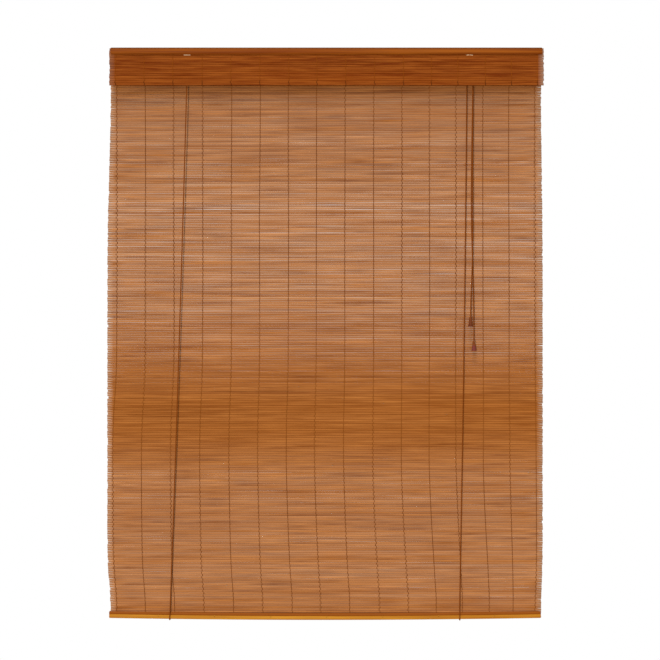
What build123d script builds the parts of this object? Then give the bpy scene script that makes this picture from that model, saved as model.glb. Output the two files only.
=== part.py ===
import os
from math import cos, radians, sin, sqrt, tan

from build123d import *

os.makedirs("parts", exist_ok=True)

# Mats: split bamboo sticks lie one above the other and are woven together by warp threads.
# The blind's mat and bottom rail hang a little to the left of its valance
stick_length = 900
stick_pitch = 4.8
stick_thickness = 1.8
stick_bevel = 1
valley_thickness = 0.9
blind_stick_count = 246
blind_top_drop = 2
blind_shift = -3.2
valance_stick_count = 16
valance_top_drop = 1

# Warp threads: two run down the mat at each place, one on each face. Their places are shares of the span
# from first to last, and they stand closer together at the right
warp_inset = 13
warp_shares = (
    0, 0.068, 0.136, 0.205, 0.274, 0.342, 0.41, 0.477, 0.545, 0.614, 0.682, 0.748, 0.811, 0.876, 0.938, 1
)
thread_width = 1.2
thread_thickness = 0.4
thread_room = 0.5

# Light gaps between sticks, counted in rows from the top, with none in the dense band
gap_height = 0.9
first_gap_row = 17
dense_first_row = 139
dense_last_row = 177
last_gap_row = 232
gap_row_step = 2
gap_span_shares = ((0.02, 0.98), (0.02, 0.64), (0.3, 0.98))

# Headrail: a wooden batten, screwed up through its underside
headrail_inset = 4
headrail_depth = 22
headrail_height = 28
headrail_edge_radius = 1.5
fixing_inset = 66
fixing_hole_radius = 2.5
fixing_sink_radius = 5

# Laths: one across the valance's top, and a bowed pair that clamps the mat's end
lath_height = 14
lath_thickness = 4
lath_edge_radius = 1
bottom_rail_inset = 1
rail_bow = 4
rail_lap = 0.2

# Pins and staples: rows are counted in sticks from a mat's top, and shares are of the warps' whole span
pin_radius = 0.8
pin_head_radius = 1.6
pin_head_height = 0.6
pin_bite = 8
pin_count = 7
pin_pitch_share = 0.1333
pin_row = 1.5
staple_wire_width = 1.2
staple_wire_thickness = 0.6
staple_crown = 10
staple_bite = 7
mat_staple_row = 2.5
valance_staple_crown = 14
valance_staple_bite = 5
valance_staple_lap = 1
valance_staple_tilt = 6
valance_staple_shares = (0.17, 0.839)
split_staple_crown = 6
split_staple_shift = 3.5
pilot_clearance = 0.05

# Cords
cord_diameter = 2.5
cord_clearance = 0.3
cord_bend_radius = 1.9
corner_run_share = 0.45
anchor_row = 3.5
anchor_crown = 6
cord_end_drop = 12
knot_radius = 3

# Pulleys, whose places along the headrail are shares of the same span
wheel_turn_radius = 6.2
wheel_radius = 7.8
wheel_thickness = 5
wheel_drop = 17
wheel_side_gap = 0.5
wheel_spacing = 6
axle_radius = 2
axle_head_radius = 2.8
axle_head_height = 0.8
running_clearance = 0.05
sheet_thickness = 1.2
bend_radius = 0.8
cheek_radius = 6
cheek_width = 16
front_wheel_y = -6
left_wheel_share = 0.1761
left_plate_length = 36
left_screw_spacing = 26
lock_wheel_share = 0.8405
lock_plate_length = 54
lock_plate_shift = 8.4
lock_screw_spacing = 43
screw_radius = 1.5
screw_head_radius = 2.75
screw_head_height = 2
screw_length = 11
screw_point_length = 3

# Locking cam: its toothed nose stands against the pull cords, its tail is the weight
cam_reach = 16
cam_drop = 7
cam_boss_radius = 4
cam_tail_reach = 7
cam_tail_radius = 3.5
cam_nose_radius = 8
cam_nose_angles = (188, 235)
cam_root_angles = (150, 275)
cam_tooth_count = 5
cam_tooth_radius = 0.6
cam_cheek_radius = 5
cam_side_gap = 0.4
cam_pin_radius = 1.5

# Tassels
tassel_height = 20
tassel_neck_radius = 2.6
tassel_waist_radius = 3.7
tassel_mouth_radius = 5.4
tassel_wall = 0.9
tassel_shoulder_drop = 9
tassel_cavity_radius = 3.3

# Where the cords hang: shifts are along X from a cord's wheel, and a pull cord's bends also have one along Y
left_low_shift = -36.9
left_lath_shift = -32.7
right_low_shift = -14.2
right_lath_shift = -12.8
cord_steady_length = 30
lath_reach = 22
upper_tassel_shift = -5.1
upper_tassel_drop = 557
upper_bend_shifts = ((-2.2, -0.2), (-4.4, 0.2))
upper_bend_shares = (0.41, 0.75)
lower_tassel_shift = 2.3
lower_tassel_drop = 607
lower_bend_shifts = ((0.3, 0.2), (1.6, -0.2))
lower_bend_shares = (0.38, 0.71)

# Places worked out from the sizes
headrail_length = stick_length - 2 * headrail_inset
fixing_spacing = headrail_length - 2 * fixing_inset
bottom_rail_length = stick_length - 2 * bottom_rail_inset
warp_span = stick_length - 2 * warp_inset
mat_seat = headrail_depth / 2 + thread_room + stick_thickness / 2
blind_bottom = -blind_top_drop - blind_stick_count * stick_pitch
valance_bottom = -valance_top_drop - valance_stick_count * stick_pitch
crest = stick_thickness / 2 + thread_room
lath_back_y = -mat_seat - crest
lath_front_y = lath_back_y - lath_thickness
rail_front_y = mat_seat - crest - lath_thickness
rail_rear_y = mat_seat + crest + lath_thickness
rail_middle_bottom = blind_bottom - rail_lap - rail_bow
rail_bow_radius = ((bottom_rail_length / 2) ** 2 + rail_bow**2) / (2 * rail_bow)
wheel_z = -headrail_height - wheel_drop
rear_wheel_y = front_wheel_y + wheel_spacing
lock_y = (front_wheel_y + rear_wheel_y) / 2
wheel_gap = wheel_thickness + 2 * wheel_side_gap
lock_gap = wheel_gap + wheel_spacing
cam_z = wheel_z - cam_drop
cord_radius = cord_diameter / 2
cord_seat = cord_radius + cord_clearance
anchor_y = mat_seat + stick_thickness / 2 + knot_radius + cord_clearance
left_wheel_x = (left_wheel_share - 0.5) * warp_span
lock_wheel_x = (lock_wheel_share - 0.5) * warp_span
left_rise_x = left_wheel_x - wheel_turn_radius
right_rise_x = lock_wheel_x - wheel_turn_radius
pull_x = lock_wheel_x + wheel_turn_radius
cam_x = lock_wheel_x + cam_reach
steady_z = wheel_z - cord_steady_length
upper_tassel_x = pull_x + upper_tassel_shift
lower_tassel_x = pull_x + lower_tassel_shift


def bow_rise(x):
    return rail_bow_radius - sqrt(rail_bow_radius**2 - (x - blind_shift) ** 2)


def front_plane(y):
    return Plane(origin=(0, y, 0), x_dir=(1, 0, 0), z_dir=(0, -1, 0))


def save(piece, label):
    piece.label = label
    export_step(piece, f"parts/{label}.step")


# Staples: the crown lies at seat_y, and the legs go from there along way, +1 to the rear or -1 to the front
def staples(places, crown, leg, seat_y, way, swell=0):
    outer = crown / 2 + swell
    inner = crown / 2 - staple_wire_thickness - swell
    back = -way * (staple_wire_thickness + swell)
    with BuildPart() as group:
        for x, z, tilt in places:
            flat = Plane(
                origin=(x, seat_y, z),
                x_dir=(cos(radians(tilt)), 0, sin(radians(tilt))),
                z_dir=(-sin(radians(tilt)), 0, cos(radians(tilt))),
            )
            with BuildSketch(flat):
                with BuildLine():
                    Polyline(
                        (-outer, way * leg),
                        (-outer, back),
                        (outer, back),
                        (outer, way * leg),
                        (inner, way * leg),
                        (inner, way * swell),
                        (-inner, way * swell),
                        (-inner, way * leg),
                        close=True,
                    )
                make_face()
            extrude(amount=staple_wire_width / 2 + swell, both=True)
    return group.part


# Pins: a flat head that ends at face_y, and a shank from there to the rear
def pins(places, face_y, length, swell=0):
    with BuildPart() as group:
        with BuildSketch(front_plane(face_y)):
            with Locations(*places):
                Circle(pin_head_radius + swell)
        extrude(amount=-pin_head_height - swell)
        with BuildSketch(front_plane(face_y)):
            with Locations(*places):
                Circle(pin_radius + swell)
        extrude(amount=-length - swell)
    return group.part


# Screws: a pan head under sheet metal, a shank and a point that goes up into the headrail
def screws(places, swell=0):
    upward = (Align.CENTER, Align.CENTER, Align.MIN)
    downward = (Align.CENTER, Align.CENTER, Align.MAX)
    seat = -headrail_height - sheet_thickness
    shank = screw_length - screw_point_length
    with BuildPart() as group:
        for x, y in places:
            with Locations((x, y, seat)):
                Cylinder(screw_head_radius + swell, screw_head_height, align=downward)
                Cylinder(screw_radius + swell, shank, align=upward)
            with Locations((x, y, seat + shank)):
                Cone(screw_radius + swell, swell, screw_point_length, align=upward)
    return group.part


# A mat as one wall: each split stick is a flat ridge with bevelled edges on both faces
def ridged_wall(stick_count, top, y, shift=0):
    with BuildPart() as wall:
        with BuildSketch(Plane.YZ.offset(shift)):
            with BuildLine():
                for face in (-1, 1):
                    valley = y + face * valley_thickness / 2
                    ridge = y + face * stick_thickness / 2
                    outline = [(valley, top)]
                    for n in range(stick_count):
                        start = top - n * stick_pitch
                        end = start - stick_pitch
                        outline += [(ridge, start - stick_bevel), (ridge, end + stick_bevel), (valley, end)]
                    Polyline(*outline)
                for level in (top, top - stick_count * stick_pitch):
                    Line((y - valley_thickness / 2, level), (y + valley_thickness / 2, level))
            make_face()
        extrude(amount=stick_length / 2, both=True)
    return wall.part


# Warp threads as flat strips, just off the crests of a mat's two faces
def threads(top, bottom, y, shift=0):
    places = []
    for share in warp_shares:
        x = shift + (share - 0.5) * warp_span
        for side in (-1, 1):
            places.append((x, y + side * (stick_thickness + thread_room) / 2, (top + bottom) / 2))
    with BuildPart() as group:
        with Locations(*places):
            Box(thread_width, thread_thickness, top - bottom)
    return group.part


# The bottom rail's lath, bowed so that its middle hangs lower than its ends
def bowed_lath(back_y):
    left_end = blind_shift - bottom_rail_length / 2
    right_end = blind_shift + bottom_rail_length / 2
    with BuildPart() as lath:
        with BuildSketch(front_plane(back_y)):
            with BuildLine():
                for level in (rail_middle_bottom, rail_middle_bottom + lath_height):
                    ThreePointArc(
                        (left_end, level + rail_bow), (blind_shift, level), (right_end, level + rail_bow)
                    )
                for end in (left_end, right_end):
                    low = rail_middle_bottom + rail_bow
                    Line((end, low), (end, low + lath_height))
            make_face()
        extrude(amount=lath_thickness)
    return lath.part


# A pulley bracket: a plate under the headrail and two cheeks bent down from it
def bracket(x, y, gap, plate_shift, plate_length, pivots, screw_places):
    width = gap + 2 * sheet_thickness
    with BuildPart() as body:
        with BuildSketch(Plane.XY.offset(-headrail_height)):
            with Locations((x + plate_shift, y)):
                Rectangle(plate_length, width)
        extrude(amount=-sheet_thickness)
        for face in (y - gap / 2, y + width / 2):
            with BuildSketch(front_plane(face)):
                for pivot_x, pivot_z, outer_radius, _ in pivots:
                    with Locations((pivot_x, pivot_z)):
                        Circle(outer_radius)
                    with Locations((pivot_x, -headrail_height)):
                        Rectangle(cheek_width, sheet_thickness, align=(Align.CENTER, Align.MAX))
                make_hull()
            extrude(amount=sheet_thickness)
        bends = body.edges().filter_by(Axis.X).group_by(Axis.Z)[-1]
        fillet(bends, bend_radius)
        for pivot_x, pivot_z, _, hole_radius in pivots:
            with BuildSketch(front_plane(y + width)):
                with Locations((pivot_x, pivot_z)):
                    Circle(hole_radius + pilot_clearance)
            extrude(amount=2 * width, mode=Mode.SUBTRACT)
        with BuildSketch(Plane.XY.offset(-headrail_height)):
            with Locations(*screw_places):
                Circle(screw_radius + pilot_clearance)
        extrude(amount=-sheet_thickness, mode=Mode.SUBTRACT)
    return body.part


# An axle or pin with a riveted head outside each cheek
def rivet(x, y, z, gap, radius, head_radius):
    reach = gap / 2 + sheet_thickness
    with BuildPart() as shaft:
        with BuildSketch(front_plane(y)):
            with Locations((x, z)):
                Circle(radius)
        extrude(amount=reach + axle_head_height, both=True)
        for side in (-1, 1):
            with BuildSketch(front_plane(y + side * reach)):
                with Locations((x, z)):
                    Circle(head_radius)
            extrude(amount=-side * axle_head_height)
    return shaft.part


# A grooved wheel, turned about its axle
def wheel(x, y):
    half = wheel_thickness / 2
    bore = axle_radius + running_clearance
    with BuildPart() as turned:
        with BuildSketch(Plane(origin=(x, y, wheel_z), x_dir=(0, 0, 1), z_dir=(1, 0, 0))):
            with Locations(((bore + wheel_radius) / 2, 0)):
                Rectangle(wheel_radius - bore, wheel_thickness)
            with Locations((wheel_turn_radius, 0)):
                Circle(cord_seat, mode=Mode.SUBTRACT)
            with Locations((wheel_radius, 0)):
                Rectangle(2 * (wheel_radius - wheel_turn_radius), 2 * cord_seat, mode=Mode.SUBTRACT)
        revolve(axis=Axis((x, y, wheel_z), (0, 1, 0)))
    return turned.part


# A stopper knot as a ball with a flat where the cord goes in, above it or below it
def knots(places, way):
    middle = sqrt(knot_radius**2 - cord_radius**2)
    with BuildPart() as group:
        for place in places:
            with BuildSketch(Plane(origin=place, x_dir=(1, 0, 0), z_dir=(0, -1, 0))):
                with BuildLine():
                    Line((0, 0), (cord_radius, 0))
                    ThreePointArc(
                        (cord_radius, 0), (knot_radius, way * middle), (0, way * (middle + knot_radius))
                    )
                    Line((0, way * (middle + knot_radius)), (0, 0))
                make_face()
            revolve(axis=Axis(place, (0, 0, 1)))
    return group.part


# A bell-shaped tassel, open below, with a shoulder inside for its knot
def tassel(x, y, drop):
    bore = cord_seat
    with BuildPart() as bell:
        with BuildSketch(Plane(origin=(x, y, -drop), x_dir=(1, 0, 0), z_dir=(0, -1, 0))):
            with BuildLine():
                Line((bore, 0), (tassel_neck_radius, 0))
                ThreePointArc(
                    (tassel_neck_radius, 0),
                    (tassel_waist_radius, -tassel_height / 2),
                    (tassel_mouth_radius, -tassel_height),
                )
                Polyline(
                    (tassel_mouth_radius, -tassel_height),
                    (tassel_mouth_radius - tassel_wall, -tassel_height),
                    (tassel_cavity_radius, -tassel_shoulder_drop),
                    (bore, -tassel_shoulder_drop),
                    (bore, 0),
                )
            make_face()
        revolve(axis=Axis((x, y, -drop), (0, 0, 1)))
    return bell.part


# A corner's arc is as large as its shorter run allows
def wide_radii(route):
    found = []
    for before, corner, after in zip(route, route[1:], route[2:]):
        into = Vector(corner) - Vector(before)
        out = Vector(after) - Vector(corner)
        run = min(into.length, out.length)
        found.append(corner_run_share * run / tan(radians(into.get_angle(out) / 2)))
    return found


# A free cord's line: straight runs joined by tangent arcs
def routed(route, radii):
    with BuildLine() as path:
        FilletPolyline(*route, radius=radii)
    print("radii", [round(radius, 1) for radius in radii])
    return path.wire()


# A cord's line over one or two wheels, up at the first and down at the last
def over_wheels(first_x, last_x, y):
    top = wheel_z + wheel_turn_radius
    turn = wheel_turn_radius * cos(radians(45))
    with BuildLine() as path:
        ThreePointArc(
            (first_x - wheel_turn_radius, y, wheel_z), (first_x - turn, y, wheel_z + turn), (first_x, y, top)
        )
        if last_x > first_x:
            Line((first_x, y, top), (last_x, y, top))
        ThreePointArc(
            (last_x, y, top), (last_x + turn, y, wheel_z + turn), (last_x + wheel_turn_radius, y, wheel_z)
        )
    return path.wire()


# A cord's tube along its line
def cord_tube(line, label):
    with BuildPart() as tube:
        with BuildSketch(Plane(origin=line @ 0, z_dir=line % 0)) as section:
            Circle(cord_radius)
        sweep(path=line)
    volume_share = tube.part.volume / (section.sketch.area * line.length)
    print(label, f"length {line.length:.1f}", f"volume share {volume_share:.4f}")
    save(tube.part, label)


def under_rail(x):
    return rail_middle_bottom + bow_rise(x) - cord_seat


# A lift cord's front run: from under the bottom rail up to its wheel
def lift_cord(label, rise_x, wheel_y, low_shift, lath_shift):
    low_x = rise_x + low_shift
    front_y = rail_front_y - cord_seat
    route = [
        (low_x, mat_seat, under_rail(low_x)),
        (low_x, front_y, under_rail(low_x)),
        (rise_x + lath_shift, front_y, under_rail(low_x) + lath_reach),
        (rise_x, wheel_y, steady_z),
        (rise_x, wheel_y, wheel_z),
    ]
    radii = wide_radii(route)
    radii[0] = cord_bend_radius
    cord_tube(routed(route, radii), label)


# Its rear run: from its knot on the headrail down to where the front run starts
def back_cord(label, rise_x, low_shift):
    low_x = rise_x + low_shift
    route = [
        (rise_x, anchor_y, -cord_end_drop),
        (rise_x, anchor_y, steady_z),
        (low_x, rail_rear_y + cord_seat, under_rail(low_x)),
        (low_x, mat_seat, under_rail(low_x)),
    ]
    radii = wide_radii(route)
    radii[-1] = cord_bend_radius
    cord_tube(routed(route, radii), label)


# A pull cord: from its wheel down into its tassel, with slight bends on the way
def pull_cord(label, y, tassel_x, drop, bend_shifts, bend_shares):
    route = [(pull_x, y, wheel_z), (pull_x, y, steady_z)]
    for (shift_x, shift_y), bend_share in zip(bend_shifts, bend_shares):
        route.append((pull_x + shift_x, y + shift_y, -bend_share * drop))
    route += [(tassel_x, y, cord_steady_length - drop), (tassel_x, y, -drop - tassel_shoulder_drop)]
    cord_tube(routed(route, wide_radii(route)), label)


# Fastener places
pin_z = -valance_top_drop - pin_row * stick_pitch
mat_staple_z = -blind_top_drop - mat_staple_row * stick_pitch
anchor_z = -blind_top_drop - anchor_row * stick_pitch
pin_pitch = pin_pitch_share * warp_span
pin_places = [(pin_pitch * (n - (pin_count - 1) / 2), pin_z) for n in range(pin_count)]
rail_pin_places = [
    (x, rail_middle_bottom + bow_rise(x) + lath_height / 2) for x, _ in pin_places
]
mat_staple_places = [(x, mat_staple_z, 0) for x, _ in pin_places]
valance_staple_z = -lath_height - valance_staple_lap
left_staple_x, right_staple_x = ((share - 0.5) * warp_span for share in valance_staple_shares)
left_staple_places = [(left_staple_x, valance_staple_z, 0)]
right_staple_places = [
    (right_staple_x - split_staple_shift, valance_staple_z, valance_staple_tilt),
    (right_staple_x + split_staple_shift, valance_staple_z, -valance_staple_tilt),
]
anchor_places = [(x, anchor_z, 0) for x in (left_rise_x, right_rise_x)]
left_screw_places = [(left_wheel_x + side * left_screw_spacing / 2, front_wheel_y) for side in (-1, 1)]
lock_screw_places = [
    (lock_wheel_x + lock_plate_shift + side * lock_screw_spacing / 2, lock_y) for side in (-1, 1)
]
lath_pin_length = pin_bite - headrail_depth / 2 - lath_front_y
rail_pin_length = rail_rear_y - rail_front_y
mat_staple_leg = mat_seat + crest - headrail_depth / 2 + staple_bite
valance_staple_y = -mat_seat - stick_thickness / 2 - pilot_clearance
valance_staple_leg = valance_staple_bite - headrail_depth / 2 - valance_staple_y
anchor_seat_y = anchor_y + cord_seat
anchor_leg = anchor_seat_y - headrail_depth / 2 + staple_bite
mat_staple_y = mat_seat + stick_thickness / 2 + pilot_clearance


# Fasteners, with swell for the holes that they sit in
def lath_pins(swell=0):
    return pins(pin_places, lath_front_y, lath_pin_length, swell)


def rail_pins(swell=0):
    return pins(rail_pin_places, rail_front_y, rail_pin_length, swell)


def mat_staples(swell=0):
    return staples(mat_staple_places, staple_crown, mat_staple_leg, mat_staple_y, -1, swell)


def left_staple(swell=0):
    return staples(left_staple_places, valance_staple_crown, valance_staple_leg, valance_staple_y, 1, swell)


def right_staples(swell=0):
    return staples(right_staple_places, split_staple_crown, valance_staple_leg, valance_staple_y, 1, swell)


def anchor_staples(swell=0):
    return staples(anchor_places, anchor_crown, anchor_leg, anchor_seat_y, -1, swell)


# Headrail
with BuildPart() as headrail:
    with BuildSketch(Plane.YZ) as headrail_section:
        with Locations((0, -headrail_height / 2)):
            Rectangle(headrail_depth, headrail_height)
        fillet(headrail_section.vertices(), headrail_edge_radius)
    extrude(amount=headrail_length / 2, both=True)
    with Locations(Plane(origin=(0, 0, -headrail_height), x_dir=(1, 0, 0), z_dir=(0, 0, -1))):
        with GridLocations(fixing_spacing, 0, 2, 1):
            CounterSinkHole(fixing_hole_radius, fixing_sink_radius, headrail_height)
    add(lath_pins(pilot_clearance), mode=Mode.SUBTRACT)
    add(mat_staples(pilot_clearance), mode=Mode.SUBTRACT)
    add(left_staple(pilot_clearance), mode=Mode.SUBTRACT)
    add(right_staples(pilot_clearance), mode=Mode.SUBTRACT)
    add(anchor_staples(pilot_clearance), mode=Mode.SUBTRACT)
    add(screws(left_screw_places + lock_screw_places, pilot_clearance), mode=Mode.SUBTRACT)
save(headrail.part, "headrail")

# Valance: mat, threads, lath and their fasteners
with BuildPart() as valance_mat:
    add(ridged_wall(valance_stick_count, -valance_top_drop, -mat_seat))
    add(lath_pins(pilot_clearance), mode=Mode.SUBTRACT)
    add(left_staple(pilot_clearance), mode=Mode.SUBTRACT)
    add(right_staples(pilot_clearance), mode=Mode.SUBTRACT)
save(valance_mat.part, "valance_mat")

save(threads(-valance_top_drop, valance_bottom, -mat_seat), "valance_threads")

with BuildPart() as valance_lath:
    with BuildSketch(Plane.YZ) as lath_section:
        with Locations((lath_back_y, 0)):
            Rectangle(lath_thickness, lath_height, align=(Align.MAX, Align.MAX))
        fillet(lath_section.vertices(), lath_edge_radius)
    extrude(amount=headrail_length / 2, both=True)
    add(lath_pins(pilot_clearance), mode=Mode.SUBTRACT)
save(valance_lath.part, "valance_lath")

save(lath_pins(), "valance_lath_pins")

with BuildPart() as valance_staples:
    add(left_staple())
    add(right_staples())
save(valance_staples.part, "valance_staples")

# Blind mat: light gaps are slots along the valleys, between the outermost threads
with BuildPart() as blind_mat:
    add(ridged_wall(blind_stick_count, -blind_top_drop, mat_seat, blind_shift))
    with BuildSketch(front_plane(mat_seat)):
        rows = list(range(first_gap_row, dense_first_row, gap_row_step))
        rows += range(dense_last_row, last_gap_row, gap_row_step)
        for count, row in enumerate(rows):
            start_share, end_share = gap_span_shares[count % len(gap_span_shares)]
            gap_x = blind_shift + ((start_share + end_share) / 2 - 0.5) * warp_span
            with Locations((gap_x, -blind_top_drop - row * stick_pitch)):
                Rectangle((end_share - start_share) * warp_span, gap_height)
    extrude(amount=stick_thickness, both=True, mode=Mode.SUBTRACT)
    add(mat_staples(pilot_clearance), mode=Mode.SUBTRACT)
    add(anchor_staples(pilot_clearance), mode=Mode.SUBTRACT)
    add(rail_pins(pilot_clearance), mode=Mode.SUBTRACT)
save(blind_mat.part, "blind_mat")

save(threads(-blind_top_drop, blind_bottom, mat_seat, blind_shift), "warp_threads")
save(mat_staples(), "mat_staples")

# Bottom rail
with BuildPart() as bottom_rail_front:
    add(bowed_lath(rail_front_y + lath_thickness))
    add(rail_pins(pilot_clearance), mode=Mode.SUBTRACT)
save(bottom_rail_front.part, "bottom_rail_front")

with BuildPart() as bottom_rail_rear:
    add(bowed_lath(rail_rear_y))
    add(rail_pins(pilot_clearance), mode=Mode.SUBTRACT)
save(bottom_rail_rear.part, "bottom_rail_rear")

save(rail_pins(), "bottom_rail_pins")

# Left pulley
left_pivots = [(left_wheel_x, wheel_z, cheek_radius, axle_radius)]
left_bracket = bracket(
    left_wheel_x, front_wheel_y, wheel_gap, 0, left_plate_length, left_pivots, left_screw_places
)
save(left_bracket, "left_pulley_bracket")
left_axle = rivet(left_wheel_x, front_wheel_y, wheel_z, wheel_gap, axle_radius, axle_head_radius)
save(left_axle, "left_pulley_axle")
save(wheel(left_wheel_x, front_wheel_y), "left_pulley_wheel")
save(screws(left_screw_places), "left_pulley_screws")

# Locking pulley
lock_pivots = [
    (lock_wheel_x, wheel_z, cheek_radius, axle_radius),
    (cam_x, cam_z, cam_cheek_radius, cam_pin_radius),
]
lock_bracket = bracket(
    lock_wheel_x, lock_y, lock_gap, lock_plate_shift, lock_plate_length, lock_pivots, lock_screw_places
)
save(lock_bracket, "lock_bracket")
save(rivet(lock_wheel_x, lock_y, wheel_z, lock_gap, axle_radius, axle_head_radius), "lock_axle")
save(wheel(lock_wheel_x, front_wheel_y), "front_lock_wheel")
save(wheel(lock_wheel_x, rear_wheel_y), "rear_lock_wheel")
save(rivet(cam_x, lock_y, cam_z, lock_gap, cam_pin_radius, axle_radius), "lock_cam_pin")
save(screws(lock_screw_places), "lock_screws")


def around_cam(radius, angle):
    return (cam_x + radius * cos(radians(angle)), cam_z + radius * sin(radians(angle)))


with BuildPart() as lock_cam:
    with BuildSketch(front_plane(lock_y)):
        with Locations((cam_x, cam_z)):
            Circle(cam_boss_radius)
        with Locations((cam_x + cam_tail_reach, cam_z)):
            Circle(cam_tail_radius)
        make_hull()
        nose_top = around_cam(cam_nose_radius, cam_nose_angles[0])
        nose_low = around_cam(cam_nose_radius, cam_nose_angles[1])
        with BuildLine():
            Polyline(
                around_cam(cam_boss_radius, cam_root_angles[0]),
                nose_top,
                nose_low,
                around_cam(cam_boss_radius, cam_root_angles[1]),
                (cam_x, cam_z),
                close=True,
            )
        make_face()
        for n in range(cam_tooth_count):
            tooth_share = (n + 1) / (cam_tooth_count + 1)
            notch = Vector(*nose_top) + (Vector(*nose_low) - Vector(*nose_top)) * tooth_share
            with Locations((notch.X, notch.Y)):
                Circle(cam_tooth_radius, mode=Mode.SUBTRACT)
        with Locations((cam_x, cam_z)):
            Circle(cam_pin_radius + running_clearance, mode=Mode.SUBTRACT)
    extrude(amount=lock_gap / 2 - cam_side_gap, both=True)
save(lock_cam.part, "lock_cam")

# Cord ends on the headrail's back
save(anchor_staples(), "anchor_staples")
anchor_knot_places = [(x, anchor_y, -cord_end_drop) for x in (left_rise_x, right_rise_x)]
save(knots(anchor_knot_places, 1), "anchor_knots")

# Cords
lift_cord("left_lift_cord", left_rise_x, front_wheel_y, left_low_shift, left_lath_shift)
back_cord("left_back_cord", left_rise_x, left_low_shift)
cord_tube(over_wheels(left_wheel_x, lock_wheel_x, front_wheel_y), "left_cross_cord")
pull_cord(
    "left_pull_cord", front_wheel_y, upper_tassel_x, upper_tassel_drop, upper_bend_shifts, upper_bend_shares
)
lift_cord("right_lift_cord", right_rise_x, rear_wheel_y, right_low_shift, right_lath_shift)
back_cord("right_back_cord", right_rise_x, right_low_shift)
cord_tube(over_wheels(lock_wheel_x, lock_wheel_x, rear_wheel_y), "right_turn_cord")
pull_cord(
    "right_pull_cord", rear_wheel_y, lower_tassel_x, lower_tassel_drop, lower_bend_shifts, lower_bend_shares
)

# Tassels, each with the knot that holds it on its cord
for name, x, y, drop in (
    ("upper_tassel", upper_tassel_x, front_wheel_y, upper_tassel_drop),
    ("lower_tassel", lower_tassel_x, rear_wheel_y, lower_tassel_drop),
):
    save(tassel(x, y, drop), name)
    save(knots([(x, y, -drop - tassel_shoulder_drop)], -1), f"{name}_knot")
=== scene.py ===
from math import pi, radians

import bpy
import numpy as np
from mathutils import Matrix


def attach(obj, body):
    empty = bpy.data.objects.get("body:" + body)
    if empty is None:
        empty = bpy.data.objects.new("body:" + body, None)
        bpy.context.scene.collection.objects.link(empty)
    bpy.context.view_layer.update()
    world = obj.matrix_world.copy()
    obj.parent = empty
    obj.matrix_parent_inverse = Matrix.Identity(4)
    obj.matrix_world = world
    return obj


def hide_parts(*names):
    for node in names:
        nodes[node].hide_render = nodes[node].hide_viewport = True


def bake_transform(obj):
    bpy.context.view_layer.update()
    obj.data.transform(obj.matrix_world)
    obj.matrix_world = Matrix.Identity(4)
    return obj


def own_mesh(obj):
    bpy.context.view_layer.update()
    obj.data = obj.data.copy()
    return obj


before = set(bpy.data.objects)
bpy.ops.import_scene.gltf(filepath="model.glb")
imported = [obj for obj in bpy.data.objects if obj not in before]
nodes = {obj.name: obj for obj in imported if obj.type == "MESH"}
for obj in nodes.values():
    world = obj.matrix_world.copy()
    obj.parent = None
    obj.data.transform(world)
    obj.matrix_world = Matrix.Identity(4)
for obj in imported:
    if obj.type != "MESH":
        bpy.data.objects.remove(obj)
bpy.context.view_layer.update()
rng = np.random.default_rng(246)
mm = 0.001
print("frame loaded:", len(nodes), "nodes")


# A new object for a mesh, camera or lamp
def addObject(name, data):
    made = bpy.data.objects.new(name, data)
    bpy.context.scene.collection.objects.link(made)
    return made


# Camera: square to the blind's front, a little right of its middle
cameraSettings = {"place": (0.0072, -4.0, -0.5839), "lens": 105.1, "sensor": 36.0}
cameraData = bpy.data.cameras.new("frontCamera")
cameraData.lens = cameraSettings["lens"]
cameraData.sensor_width = cameraSettings["sensor"]
camera = addObject("frontCamera", cameraData)
camera.location = cameraSettings["place"]
camera.rotation_euler = (pi / 2, 0, 0)
bpy.context.scene.camera = camera
bpy.context.scene.view_settings.view_transform = "Standard"
print("camera set")


# A colour given as the eye sees it, 0 to 255, turned into the linear values that shaders use
def tint(red, green, blue):
    seen = np.array([red, green, blue]) / 255
    linear = np.where(seen <= 0.04045, seen / 12.92, ((seen + 0.055) / 1.055) ** 2.4)
    return (*linear, 1.0)


# Random values with unit spread, blurred along each axis by a bell curve of a reach in cells
def smoothField(shape, reaches):
    field = rng.normal(size=shape)
    for axis, reach in enumerate(reaches):
        steps = np.arange(-3 * reach, 3 * reach + 1)
        bell = np.exp(-0.5 * (steps / max(reach, 1)) ** 2)
        bell /= np.sqrt((bell**2).sum())
        field = np.apply_along_axis(np.convolve, axis, field, bell)
        field = np.take(field, np.arange(shape[axis]) + len(bell) // 2, axis=axis)
    return field


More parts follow.
